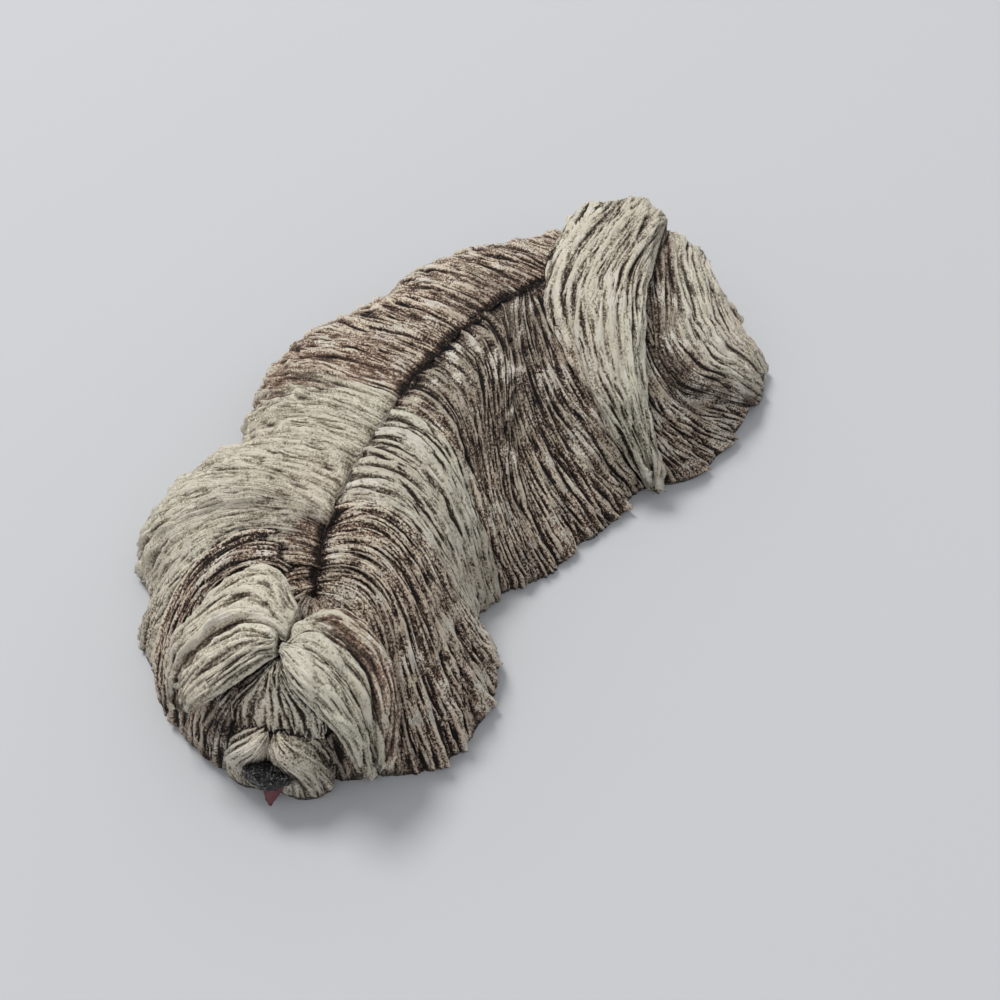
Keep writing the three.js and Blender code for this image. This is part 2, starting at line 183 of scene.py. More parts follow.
# These are in the body's steps again
BODY_LEAVES = {
    "right_mane": (
        [(-9, -47, 29), (-20, -57, 27.5), (-25, -67, 22), (-24.5, -77, 15), (-21, -85, 8),
         (-17, -89, 3)],
        [(0, -60, 28), (-7, -62, 30), (-13, -69, 26), (-14, -77, 20), (-12, -84, 13), (-9, -90, 3.5)],
        2.6, 8, 1, 56, 50,
    ),
    "tail_over_back": (
        [(-40, 74, 6), (-36, 67, 24), (-27, 49, 30), (-16, 34, 31), (-3, 27, 29.5), (8, 22.5, 23.5),
         (17, 23.5, 15.5), (25, 26, 5)],
        [(-20, 90, 6), (-17, 84, 24), (-11, 73, 31.5), (-4.5, 61, 33), (1, 50, 30.5), (9, 39, 24),
         (18, 31.5, 15.5), (27, 28, 5)],
        5.9, 9, 1.5, 120, 84,
    ),
    "tail_to_rump": (
        [(-24, 84, 8), (-18, 78, 25), (-8, 63, 31), (3, 50.5, 29.5), (11, 42, 26.5), (19, 42.5, 20),
         (25.5, 52, 12.5), (29, 63, 3)],
        [(-6, 89, 4), (-3, 86, 15), (1, 79.5, 19.5), (6, 78, 18), (11, 76.5, 15), (15.5, 75.5, 12),
         (19.5, 76, 8.5), (23, 77.5, 3)],
        2.4, 9, 1.5, 96, 72,
    ),
}
# The edges that are let down into the coat
SETTLED = {"tail_over_back": ("left",), "left_ear": ("right",)}
# The tail's strands are gathered at its root, and swing this far aside there
TAIL_FAN = 0.5
TAIL_SWING = 10
# Each leaf's clumps: their height and width, and how calm the hair on them is
LEAF_CLUMPS = {
    "forehead": (0.08, 2.2, 0.0),
    "right_mane": (1.0, 4.5, 0.0),
    "tail_over_back": (1.5, 4.5, 0.3),
    "tail_to_rump": (1.3, 4.5, 0.3),
}
EAR_CLUMPS = (1.25, 5.0, 0.8)

# The paint from the grooves to the crests, on white hair and on brown
PALE_PAINT = [
    (0.0, (0.030, 0.019, 0.012)), (0.22, (0.135, 0.104, 0.075)), (0.46, (0.46, 0.39, 0.295)),
    (0.72, (1.0, 0.925, 0.77)),
]
BROWN_PAINT = [
    (0.0, (0.005, 0.0028, 0.0016)), (0.22, (0.028, 0.0145, 0.0097)), (0.5, (0.138, 0.076, 0.051)),
    (0.72, (0.46, 0.31, 0.22)), (0.9, (1.0, 0.86, 0.70)),
]
# A greenish and a warm cast, in large soft patches
CASTS = [(0.35, (0.98, 1.0, 0.97)), (0.62, (1.0, 0.975, 0.95))]
WORN_PAINT = (1.0, 0.94, 0.82)
NOSE_GROOVE = (0.002, 0.002, 0.002)
NOSE_CREST = (0.02, 0.019, 0.018)
NOSE_GLINT = (0.34, 0.33, 0.31)
TONGUE_PAINT = (0.27, 0.10, 0.115)
# Noise per metre of the figurine
GRIT_SCALE = 1900
PIT_SCALE = 1300
PATCH_SCALE = 130
SWAY_SCALE = 70
CAST_SCALE = 45
# Streaks per millimetre across the hair and along it, and how far apart two forms' streaks are
COARSE_STREAKS = (0.75, 0.035, 1.0)
FINE_STREAKS = (1.5, 0.09, 1.0)
BROKEN_STREAKS = (0.7, 0.05, 1.0)
CALM_STREAKS = (0.3, 0.05, 1.0)
BUMP_DEPTH = 0.0006

FLOOR_COLOUR = (0.468, 0.473, 0.487, 1)
SKY_COLOUR = (0.95, 0.97, 1.0, 1)
SKY_STRENGTH = 0.67
# The camera: its angle round from the head's end, and above the table, its distance and its lens
AZIMUTH = math.radians(42)
ELEVATION = math.radians(52)
DISTANCE = 300
LENS = 45
# Each lamp: metres to the view's right, to its far side and up, then size, watts and colour
LAMPS = {
    "window": (-0.8, 0.95, 2.1, 0.8, 43.5, (1.0, 0.99, 0.97)),
    "fill": (0.7, -0.5, 0.9, 1.2, 1.0, (0.95, 0.97, 1.0)),
}


def body(points):
    """The body's own steps in millimetres, about the middle of the box."""
    return np.asarray(points, float) + SHIFT


def head(points):
    """The head's own steps, turned about the topknot."""
    side, front, up = np.moveaxis(np.asarray(points, float), -1, 0)
    x = KNOT[0] + side * math.cos(HEAD_TURN) + front * math.sin(HEAD_TURN)
    y = KNOT[1] + side * math.sin(HEAD_TURN) - front * math.cos(HEAD_TURN)
    return body(np.stack([x, y, up], axis=-1))


def blended(a, b, c, d, t):
    """Catmull-Rom between b and c."""
    t = t[..., None]
    squared = 2 * a - 5 * b + 4 * c - d
    cubed = 3 * b - a - 3 * c + d
    return 0.5 * (2 * b + (c - a) * t + squared * t**2 + cubed * t**3)


def along_line(points, share):
    """The place on an open curve at each share of its length."""
    points = np.asarray(points, float)
    longer = np.vstack([2 * points[0] - points[1], points, 2 * points[-1] - points[-2]])
    place = np.clip(share, 0, 1) * (len(points) - 1)
    first = np.minimum(place.astype(int), len(points) - 2)
    return blended(*(longer[first + k] for k in range(4)), place - first)


def round_loop(rows, place):
    """The values on a closed curve at each place, counted in rows."""
    rows = np.asarray(rows, float)
    first = np.floor(place).astype(int)
    return blended(*(rows[(first + k) % len(rows)] for k in (-1, 0, 1, 2)), place - first)


def smooth(value, low, high):
    """0 below low, 1 above high, and an S-curve between."""
    t = np.clip((value - low) / (high - low), 0, 1)
    return t * t * (3 - 2 * t)


def band(value, low, high, soft):
    """1 from low to high and 0 outside, with soft edges."""
    return smooth(value, low - soft, low + soft) * (1 - smooth(value, high - soft, high + soft))


def lattice_noise(shape, cells, rng):
    """Smooth noise from -1 to 1 over a grid, with this many cells each way."""
    grid = rng.uniform(-1, 1, (cells[0] + 3, cells[1] + 3))
    grid[-3:] = grid[:3]
    u = np.arange(shape[0]) / shape[0] * cells[0]
    v = np.arange(shape[1]) / shape[1] * cells[1]
    i, j = u.astype(int), v.astype(int)
    s, t = smooth(u - i, 0, 1)[:, None], smooth(v - j, 0, 1)[None]
    a, b = grid[np.ix_(i, j)], grid[np.ix_(i + 1, j)]
    c, d = grid[np.ix_(i, j + 1)], grid[np.ix_(i + 1, j + 1)]
    return (a * (1 - s) + b * s) * (1 - t) + (c * (1 - s) + d * s) * t


class Sheet:
    """A grid of points in millimetres: columns run with the hair, and rows cross it."""

    def __init__(self, points, closed, seed):
        self.points = points
        self.closed = closed
        self.rng = np.random.default_rng(seed)
        self.seed = seed
        if closed:
            beside = np.roll(points, -1, axis=0)
        else:
            beside = np.concatenate([points[1:], points[-1:]])
        across = np.linalg.norm(beside - points, axis=2)
        if not closed:
            across[-1] = across[-2]
        self.across = np.maximum(across, 0.05)
        down = np.linalg.norm(np.diff(points, axis=1), axis=2)
        self.along = np.concatenate([down, down[:, -1:]], axis=1)
        self.run = np.concatenate([np.zeros((len(points), 1)), np.cumsum(down, axis=1)], axis=1)
        self.area = np.cumsum((self.across * self.along).ravel())
        widest = self.across.sum(axis=0).max()
        cells = (int(widest / SWAY_LENGTH) + 1, int(self.run.max() / SWAY_LENGTH) + 2)
        self.sway = SWAY * lattice_noise(self.run.shape, cells, np.random.default_rng(seed + 500))

    def normals(self):
        points = self.points
        if self.closed:
            points = np.concatenate([points[-2:], points, points[:2]])
        normal = np.cross(np.gradient(points, axis=1), np.gradient(points, axis=0))
        if self.closed:
            normal = normal[2:-2]
        size = np.linalg.norm(normal, axis=2, keepdims=True)
        return normal / np.maximum(size, 1e-9)

    def comb(self, width, length, overlap, wander=0.12, start=0.35, power=1.7, lean_to=0.0):
        """A layer from 0 to 1 of strands, each tapering to its tip and keeping the top of what crosses.

        Overlap is how many strands lie over a spot, wander how far they turn from the comb's way,
        start their height at the root, power how round they are, and lean_to their crest's side.
        """
        rng = self.rng
        columns, rows = self.run.shape
        layer = np.zeros((columns, rows))
        count = int(overlap * self.area[-1] / (width * length))
        cells = np.searchsorted(self.area, rng.random(count) * self.area[-1])
        for cell in cells:
            i, j = divmod(int(cell), rows)
            run = self.run[i]
            long = length * rng.uniform(*SIZE_SPREAD)
            first = run[j] - long * rng.uniform(*BEFORE_SPOT)
            inside = np.nonzero((run >= first) & (run <= first + long))[0]
            if len(inside) < 3:
                continue
            s = (run[inside] - first) / long
            lean = rng.normal(0, wander)
            bend = rng.normal(0, wander) * long * 0.5
            drift = lean * (run[inside] - run[j]) + bend * np.sin(s * math.pi)
            drift = drift + self.sway[i, inside] - self.sway[i, j]
            wide = 0.5 * width * rng.uniform(*SIZE_SPREAD)
            wide = wide * np.minimum(1, s / 0.18 + 0.25) ** 0.5 * (1 - s**4.0) ** 0.7
            risen = start + (1 - start) * np.minimum(1, s * 2.5)
            high = rng.uniform(*HEIGHT_SPREAD) * risen * (1 - s**8) ** 0.5
            waves = s * long / rng.uniform(*DIMPLE_LENGTH) + rng.random()
            high = high * (1 - DIMPLE_DEPTH * (1 + np.sin(waves * 2 * math.pi)))
            peak = lean_to + rng.uniform(-CREST_SPREAD, CREST_SPREAD)
            peak = np.clip(peak, -CREST_MOST, CREST_MOST)
            spacing = self.across[i, inside]
            centre = i + drift / spacing
            reach = int(np.max(wide / spacing)) + 2
            column = np.floor(centre).astype(int)[:, None] + np.arange(-reach, reach + 1)[None]
            aside = (column - centre[:, None]) * spacing[:, None]
            far = aside / np.maximum(wide, 1e-3)[:, None] - peak
            far = np.where(far < 0, -far / (1 + peak), far / (1 - peak))
            value = high[:, None] * np.clip(1 - far**power, 0, 1)
            if self.closed:
                column %= columns
            else:
                value = np.where((column < 0) | (column >= columns), 0, value)
                column = np.clip(column, 0, columns - 1)
            row = np.broadcast_to(inside[:, None], column.shape)
            np.maximum.at(layer, (column, row), value)
        return layer

    def blurred(self, field, mm):
        """A field averaged over about this many millimetres each way."""
        total = field
        for axis, spacing in ((0, self.across), (1, self.along)):
            half = max(1, int(mm / float(np.median(spacing)) / 2))
            shifts = range(-half, half + 1)
            if axis == 0 and self.closed:
                total = sum(np.roll(total, k, axis=0) for k in shifts) / len(shifts)
            else:
                size = total.shape[axis]
                total = sum(np.take(total, np.clip(np.arange(size) + k, 0, size - 1), axis=axis)
                            for k in shifts) / len(shifts)
        return total

    def streaky_noise(self, around, down, seed):
        """Noise from -1 to 1 with this many cells around the form and down its hair."""
        return lattice_noise(self.run.shape, (around, down), np.random.default_rng(seed))

    def flow(self):
        """Coordinates in millimetres across and along the hair, for the paint's streaks."""
        columns, rows = self.run.shape
        side = np.arange(columns)[:, None] * float(np.median(self.across))
        flow = np.zeros((columns, rows, 3))
        flow[..., 0] = side - self.sway
        flow[..., 1] = self.run
        flow[..., 2] = self.seed * FLOW_STEP
        return flow


def mound(ridge_line, foot_rows, place, around, down, full, seed, crease=0.0, masses=()):
    """Hair combed from a ridge line down to a closed foot line on the table.

    Around and down are its numbers of points, and crease is the depth of the parting's furrow.
    """
    line = place(ridge_line)
    count = len(foot_rows)
    fine = np.arange(count * 24 + 1) / 24
    track = round_loop(foot_rows, fine)[:, :2]
    track = place(np.column_stack([track, np.zeros(len(track))]))
    parting = along_line(line, round_loop(foot_rows, fine)[:, 2] / (len(line) - 1))
    paces = [np.linalg.norm(np.diff(edge, axis=0), axis=1) for edge in (track, parting)]
    run = np.concatenate([[0], np.cumsum(np.maximum(paces[0], 0.7 * paces[1]))])
    where = np.interp(np.arange(around) / around * run[-1], run, fine)
    foot_x, foot_y, root, bow, sway = round_loop(foot_rows, where).T
    origin = along_line(line, root / (len(line) - 1))
    if crease:
        stops = np.arange(0, len(line), 0.13)
        rng = np.random.default_rng(seed + 7)
        wobble = rng.uniform(-PARTING_WOBBLE, PARTING_WOBBLE, len(stops))
        origin[:, 0] += np.interp(root, stops, wobble)
    foot = place(np.column_stack([foot_x, foot_y, np.zeros(around)]))
    reach = (foot - origin)[:, :2]
    length = np.linalg.norm(reach, axis=1)[:, None]
    sideways = np.column_stack([-reach[:, 1], reach[:, 0]]) / length
    t = np.sin(np.arange(down + 1) / down * math.pi / 2)[None]
    start = PARTING_GAP / length
    out = start + (1 - start) * t
    flat = origin[:, None, :2] + reach[:, None] * out[..., None]
    aside = 4 * t * (1 - t) * (bow[:, None] + sway[:, None] * (2 * t - 1))
    flat = flat + sideways[:, None] * aside[..., None]
    fall = (1 - t ** full[0]) ** full[1]
    height = RIM_HEIGHT + (origin[:, 2:] - RIM_HEIGHT) * fall
    height = height - crease * np.exp(-((t * length / PARTING_WIDTH) ** 1.5))
    for x, y, radius, lift in masses:
        centre = body((x, y, 0))
        far = ((flat - centre[:2]) ** 2).sum(axis=2) / radius**2
        height = height + lift * np.exp(-far) * (1 - t**4)
    sheet = Sheet(np.concatenate([flat, height[..., None]], axis=2), True, seed)
    sheet.root = np.broadcast_to(root[:, None], height.shape)
    sheet.fall = np.broadcast_to(t, height.shape)
    sheet.place = np.broadcast_to(where[:, None], height.shape)
    inset = reach * (RIM_UNDERCUT / length)
    sheet.base = np.column_stack([foot[:, :2] - inset, np.zeros(around)])
    return sheet


def leaf(edges, crown, belly, blunt, place, across, along, seed, fan=0.0, ragged=1.2,
         settle=(None, None)):
    """A leaf of hair between its two edges, from root to tip, with its underside in the coat.

    Crown and belly are its thickness above and below the edges, and blunt is how far its tip
    reaches out, more or less by ragged. Fan gathers its strands at the root. Settle names the
    form that its left and right edge are let down into.
    """
    v = np.linspace(0, 1, along + 1)
    left, right = (along_line(place(edge), v) for edge in edges)
    left, right = (settled(edge, ground) if ground else edge
                   for edge, ground in zip((left, right), settle))
    chord = right - left
    ahead = np.gradient(left, axis=0) + np.gradient(right, axis=0)
    ahead /= np.linalg.norm(ahead, axis=1)[:, None]
    normal = np.cross(chord, ahead)
    normal /= np.linalg.norm(normal, axis=1)[:, None]
    normal[normal[:, 2] < 0] *= -1
    taper = np.sqrt(np.maximum(0, 1 - (2 * np.maximum(0, v - 0.5)) ** 4)) * 0.85 + 0.15
    risen = smooth(v + 0.05, 0, ROOT_RISE)
    gather = 1 - fan * (1 - smooth(v, 0.25, 0.7))

    def strip(turn, height):
        turn = turn[:, None] ** gather[None]
        u = (1 - np.cos(math.pi * turn)) / 2
        arch = np.sin(math.pi * turn)
        fringe = blunt + ragged * np.random.default_rng(seed).uniform(-1, 1, (len(u), 1))
        flat = left[None] + chord[None] * u[..., None]
        lift = arch * height[None] - EDGE_SINK * (1 - arch) ** 2
        forward = fringe * arch * v[None] ** 6
        return flat + normal[None] * lift[..., None] + ahead[None] * forward[..., None]

    turn = np.linspace(0, 1, across + 1)
    sheet = Sheet(strip(turn, crown * taper * risen), False, seed)
    sheet.under = strip(np.linspace(1, 0, 6)[1:-1], -belly * taper)
    sheet.turn = turn[:, None] ** gather[None]
    sheet.fall = np.broadcast_to(v[None], (across + 1, along + 1))
    sheet.edge = np.sin(math.pi * sheet.turn)
    return sheet


def settled(edge, ground):
    """An edge line let down into the hair under it, wherever it would stand proud."""
    points = ground.points.reshape(-1, 3)
    drop = np.zeros(len(edge))
    for k, point in enumerate(edge):
        far = ((points[:, :2] - point[:2]) ** 2).sum(axis=1)
        nearest = int(np.argmin(far))
        if far[nearest] < 1.0:
            drop[k] = np.clip(point[2] - points[nearest, 2] + SETTLE_DEPTH, 0, SETTLE_MOST)
    reach = len(edge) // 8
    padded = np.pad(drop, reach, mode="edge")
    low = edge.copy()
    low[:, 2] -= np.convolve(padded, np.ones(2 * reach + 1) / (2 * reach + 1), mode="valid")
    return low


def carve(sheet, clump, strand, fine, sink, fade=None, fringe=1.6, locks=6.5, calm=0.0, hair=1.15):
    """Clumps, strands and fine hair in layers, then the tone that the paint follows.

    Clump, strand and fine are heights, and locks and hair the widths of clumps and strands.
    The whole is sunk by sink, so that its mean stays on the form. Where calm is up to 1, flat
    knife-cut planes take the place of some of the strands.
    """
    clumps = sheet.comb(locks, 34, 1.6, wander=0.10, start=0.2, power=1.25, lean_to=0.45)
    strands = sheet.comb(hair, 28, 2.6, wander=0.07, start=0.1, power=0.9, lean_to=0.35)
    fines = sheet.comb(0.55 * hair, 14, 2.2, wander=0.09, power=1.0)
    troughs = sheet.comb(2.8, 20, 0.28, wander=0.08, start=0.5)
    planes = sheet.comb(6.5, 20, 1.5, wander=0.2, start=0.3, power=1.3, lean_to=0.5)
    ridges = sheet.comb(1.3, 20, 0.8, wander=0.16, start=0.3, power=0.8)
    hollow = smooth(troughs, 0.15, 0.6)
    plain = np.maximum(hollow, 0.55 * calm)
    combed = strand * strands + fine * fines * (0.4 + 0.6 * strands)
    relief = clump * clumps + combed * (1 - 0.8 * plain)
    relief = relief + calm * (PLANE_HEIGHT * planes + RIDGE_HEIGHT * ridges)
    relief = relief - 0.35 * strand * plain
    if fade is not None:
        relief = relief * fade + sink * (1 - fade)
    # The tone follows the relief: wash in the grooves and dry brushing on the crests, partly painted
    # shade in the grooves
    local = relief - sheet.blurred(relief, STRAND_BLUR)
    wide = relief - sheet.blurred(relief, CLUMP_BLUR)
    rough = strand * (1 + 1.3 * calm)
    raised = np.where(local < 0, local / (0.75 * rough), local / (1.3 * rough))
    tone = np.clip(0.5 + raised, 0, 1)
    sheet.tone = tone + (0.62 - tone) * np.maximum(0.25 * calm, 0.7 * hollow)
    # Darker in the hollows between clumps: darker wash and painted shade
    deep = np.clip(-wide / (0.8 * max(clump, 0.7)), 0, 1)
    sheet.deep = deep * (1 - 0.7 * calm) * (1 - 0.7 * hollow)
    sheet.calm = np.broadcast_to(calm, relief.shape)
    ahead = np.gradient(sheet.points, axis=1)
    ahead[..., 2] = 0
    ahead /= np.maximum(np.linalg.norm(ahead, axis=2, keepdims=True), 1e-6)
    ends = (fringe * (clumps - 0.6) + 0.5 * fringe * (strands - 0.5)) * sheet.fall**8
    push = ahead * ends[..., None]
    relief = relief + GRAIN * sheet.rng.normal(size=relief.shape)
    sheet.carved = sheet.points + sheet.normals() * (relief - sink)[..., None] + push
    sheet.carved[..., 2] = np.maximum(sheet.carved[..., 2], LEAST_HEIGHT)
    if sheet.closed:
        sheet.base = sheet.base + push[:, -1]


def mesh_object(name, points, faces, fields, flow):
    """An object from points in millimetres, and faces as arrays of equal ones or single rings."""
    mesh = bpy.data.meshes.new(name)
    corners = np.concatenate([np.asarray(f).ravel() for f in faces])
    sizes = np.concatenate([
        np.full(len(f), np.shape(f)[1]) if np.ndim(f) == 2 else [len(f)] for f in faces
    ])
    mesh.vertices.add(len(points))
    mesh.vertices.foreach_set("co", (points * MM).ravel())
    mesh.loops.add(len(corners))
    mesh.loops.foreach_set("vertex_index", corners.astype(np.int32))
    mesh.polygons.add(len(sizes))
    starts = np.concatenate([[0], np.cumsum(sizes)[:-1]])
    mesh.polygons.foreach_set("loop_start", starts.astype(np.int32))
    mesh.update(calc_edges=True)
    for field in FIELDS:
        made = mesh.attributes.new(field, "FLOAT", "POINT")
        made.data.foreach_set("value", fields[field].astype(np.float32))
    made = mesh.attributes.new("flow", "FLOAT_VECTOR", "POINT")
    made.data.foreach_set("vector", flow.astype(np.float32).ravel())
    mesh.validate()
    item = bpy.data.objects.new(name, mesh)
    bpy.context.collection.objects.link(item)
    return item


def ring_quads(index):
    """The quads between neighbouring rows of a grid of point numbers that closes on itself."""
    after = np.roll(index, -1, axis=0)
    quads = np.stack([index[:, :-1], index[:, 1:], after[:, 1:], after[:, :-1]], axis=-1)
    return quads.reshape(-1, 4)


def closed_form(name, sheet, hidden, ring):
    """A carved sheet and its hidden points as one closed object, capped at both ends of the ring."""
    fields = {}
    for field in FIELDS:
        value = np.broadcast_to(getattr(sheet, field, 0.0), sheet.run.shape).reshape(-1)
        added = HIDDEN_TONE if field == "tone" else 0.0
        fields[field] = np.concatenate([value, np.full(len(hidden), added)])
    flow = np.concatenate([sheet.flow().reshape(-1, 3), np.zeros((len(hidden), 3))])
    points = np.concatenate([sheet.carved.reshape(-1, 3), hidden])
    return mesh_object(name, points, [ring_quads(ring), ring[:, 0], ring[::-1, -1]], fields, flow)


def close_mound(name, sheet):
    columns, rows = sheet.run.shape
    index = np.arange(columns * rows).reshape(columns, rows)
    base = columns * rows + np.arange(columns)
    return closed_form(name, sheet, sheet.base, np.column_stack([index, base]))


def close_leaf(name, sheet):
    columns, rows = sheet.run.shape
    under = sheet.under
    under[..., 2] = np.maximum(under[..., 2], LEAST_HEIGHT)
    index = np.arange(columns * rows).reshape(columns, rows)
    below = columns * rows + np.arange(under.shape[0] * rows).reshape(-1, rows)
    return closed_form(name, sheet, under.reshape(-1, 3), np.concatenate([index, below]))


def ball(name, centre, size, turn, rings, lumps, seed, **values):
    """A round lump of the face, slightly uneven, with the given values of its paint's fields."""
    rng = np.random.default_rng(seed)
    count = rings * 2
    up = np.linspace(0, math.pi, rings + 1)[1:-1]
    around = np.arange(count) / count * 2 * math.pi
    up, around = np.meshgrid(up, around)
    points = [np.sin(up) * np.cos(around), np.sin(up) * np.sin(around), np.cos(up)]
    points = np.stack(points, axis=-1)
    grain = lattice_noise(up.shape, (16, 8), rng) + 0.8 * lattice_noise(up.shape, (34, 16), rng)
    points = points * (1 + lumps * grain[..., None]) * np.array(size) / 2
    poles = np.array([[0, 0, size[2] / 2], [0, 0, -size[2] / 2]])
    rows = points.shape[1]
    index = np.arange(count * rows).reshape(count, rows)
    after = np.roll(index, -1, axis=0)
    top = np.column_stack([np.full(count, count * rows), index[:, 0], after[:, 0]])
    bottom = np.column_stack([np.full(count, count * rows + 1), after[:, -1], index[:, -1]])
    points = np.concatenate([points.reshape(-1, 3), poles])
    c, s = math.cos(turn), math.sin(turn)
    points = points @ np.array([[c, s, 0], [-s, c, 0], [0, 0, 1]]) + centre
    fields = {field: np.full(len(points), values.get(field, 0.0)) for field in FIELDS}
    return mesh_object(name, points, [ring_quads(index), top, bottom], fields, points.copy())


def near_to(points, spots):
    """How close each point is to the listed spots: 1 at one of them, fading out at its radius."""
    close = np.zeros(points.shape[:-1])
    for x, y, radius, amount in spots:
        centre = body((x, y, 0))[:2]
        far = ((points[..., :2] - centre) ** 2).sum(axis=-1) / radius**2
        close = np.maximum(close, amount * np.exp(-far))
    return close


def paint_coat(coat):
    """White shoulders and flank on both sides of a brown mane, and a brown back and rump."""
    t = coat.fall
    near_side = coat.place < FAR_START
    r = coat.root + 0.13 * coat.streaky_noise(170, 3, 5) + 0.10 * coat.streaky_noise(40, 5, 6)
    near = band(r, 2.05 + 0.25 * t**3, 3.72 + 0.45 * t**2, 0.10)
    far = band(r, 1.7 * smooth(0.35 - t, 0, 0.3) - 0.3, 3.9 - 0.4 * t, 0.14)
    cheek = 0.3 * (1 - smooth(r, 1.1, 2.0)) * smooth(t, 0.3, 0.8)
    coat.white = np.where(near_side, near, far - cheek)
    # Painted shade in the parting's furrow: a dark line where the hair starts, fainter on white hair
    parting_shade = 0.8 * np.exp(-((coat.run / 0.8) ** 2)) * (1 - 0.7 * coat.white)
    coat.deep = np.maximum(coat.deep, parting_shade)
    coat.tone = coat.tone * (1 - 0.5 * parting_shade)
    # Darker on the near side, turned from the lamp: darker brown paint and painted shade on the back,
    # painted shade on the white band
    back = band(r, 3.9, 8.4, 0.4) * (1 - smooth(t, 0.5, 0.8)) * near_side
    coat.dark = np.maximum(near_to(coat.points, SHADES), 0.68 * back)
    coat.dark = np.maximum(coat.dark, 0.25 * near * near_side)


def paint_muzzle(muzzle):
    """A cream muzzle, darker at its foot, with the nose's black running into its hair."""
    muzzle.tone = 0.55 + 0.6 * (muzzle.tone - 0.5)
    muzzle.white = 0.55 + 0.2 * muzzle.streaky_noise(40, 3, 7)
    muzzle.dark = 0.3 * smooth(muzzle.fall, 0.7, 1.0)
    from_nose = (muzzle.points - head(NOSE)) / (0.5 * np.array(NOSE_REACH))
    from_nose = np.sqrt((from_nose**2).sum(axis=-1)) + 0.22 * muzzle.streaky_noise(90, 5, 8)
    muzzle.nose = 1 - smooth(from_nose, 0.75, 1.5)


def paint_leaf(name, sheet):
    """How white and how dark each leaf of hair is, by its place across (u) and along it (v)."""
    u = sheet.turn + 0.10 * sheet.streaky_noise(24, 3, 31) + 0.05 * sheet.streaky_noise(60, 4, 32)
    v = sheet.fall + 0.10 * sheet.streaky_noise(30, 2, 33)
    from_middle = abs(u - 0.47)
    brown_edge = 0.75 * (1 - smooth(u, 0.05, 0.30)) * smooth(v, 0.2, 0.5)
    white = {
        "forehead": 0.55 - 0.4 * smooth(from_middle, 0.14, 0.40),
        "right_ear": 1.0 - 0.6 * smooth(v, 0.45, 0.95),
        "right_bang": 0.98 - 0.25 * smooth(v, 0.85, 1.0),
        "left_ear": 0.98 - 0.95 * smooth(u, 0.28, 0.52) * smooth(v, 0.1, 0.35),
        "left_bang": 1.0 - 0.3 * smooth(v, 0.7, 1.0),
        "right_mane": 0.45 - 0.45 * smooth(u, 0.05, 0.35),
        "tail_over_back": 1.0 - brown_edge - 0.2 * smooth(v, 0.8, 1),
        "tail_to_rump": smooth(u + 0.2 * smooth(v, 0.75, 1.0), 0.24, 0.5),
    }[name]
    # Darker paint on some leaves, and painted shade along the lower tail leaf's edge, where it runs
    # under the upper one
    dark = {
        "forehead": 0.15 + 0.3 * smooth(from_middle, 0.2, 0.45) + 0.2 * smooth(v, 0.8, 1.0),
        "right_mane": 0.25 * smooth(u, 0.3, 0.7),
        "tail_to_rump": 0.1 + 0.7 * (1 - smooth(u, 0.15, 0.5)),
        "tail_over_back": 0.12,
        "left_ear": 0.1,
    }.get(name, 0.0)
    sheet.white = np.clip(white, 0, 1)
    sheet.dark = np.broadcast_to(dark, sheet.run.shape)


def coat_form():
    coat = mound(PARTING, COAT_FOOT, body, around=1760, down=38, full=COAT_ROUND, seed=11,
                 crease=PARTING_DEPTH, masses=MASSES)
    beyond = coat.place > FAR_START
    calm = 0.55 * beyond * band(coat.root, 1.0, 4.4, 0.5) + 0.3 * beyond
    carve(coat, clump=1.5, strand=1.05, fine=0.3, sink=1.15, fringe=np.where(beyond, 1.0, 1.7),
          calm=calm)
    paint_coat(coat)
    return coat


def skull_form():
    skull = mound(SKULL_RIDGE, SKULL_FOOT, head, around=320, down=22, full=SKULL_ROUND, seed=12)
    carve(skull, clump=0.8, strand=0.55, fine=0.25, sink=0.7, hair=1.1)
    # Darker brown paint over the skull, and painted shade at the eyes
    eyes = [(*(head(eye) - SHIFT)[:2], 6, 0.5) for eye in EYE_SHADE_SPOTS]
    skull.dark = 0.35 + near_to(skull.points, eyes)
    return skull


def muzzle_form():
    muzzle = mound(MUZZLE_RIDGE, MUZZLE_FOOT, head, around=260, down=24, full=MUZZLE_ROUND,
                   seed=13)
    fade = smooth(muzzle.run, 0.2, 2.2)
    carve(muzzle, clump=0.08, strand=0.5, fine=0.2, sink=0.4, fade=fade, locks=3.0, hair=0.95)
    paint_muzzle(muzzle)
    return muzzle


def leaf_form(name, shape, place, seed, coat):
    left, right, crown, belly, blunt, across, along = shape
    is_tail = name == "tail_over_back"
    settle = [coat if side in SETTLED.get(name, ()) else None for side in ("left", "right")]
    fan = TAIL_FAN if is_tail else 0.0
    sheet = leaf((left, right), crown, belly, blunt, place, across, along, seed, fan, settle=settle)
    if is_tail:
        sheet.sway = sheet.sway + TAIL_SWING * (1 - smooth(sheet.fall, 0.1, 0.62))
    fade = smooth(sheet.edge, 0, 0.25) * smooth(sheet.fall, -0.05, 0.08)
    clump, locks, calm = LEAF_CLUMPS.get(name, EAR_CLUMPS)
    strand, hair = (0.5, 0.95) if name == "forehead" else (0.8, 1.15)
    sink = 0.2 if is_tail else 0.8
    carve(sheet, clump, strand, fine=0.25, sink=sink, fade=fade, fringe=0.9, locks=locks,
          calm=calm, hair=hair)
    paint_leaf(name, sheet)
    return sheet


def tongue_form():
    tongue = leaf(TONGUE, crown=0.9, belly=1.4, blunt=0.3, place=head, across=16, along=14,
                  seed=42, ragged=0.2)
    carve(tongue, clump=0.1, strand=0.1, fine=0.1, sink=0.1, fringe=0.0)
    tongue.tongue = 1.0
    return tongue


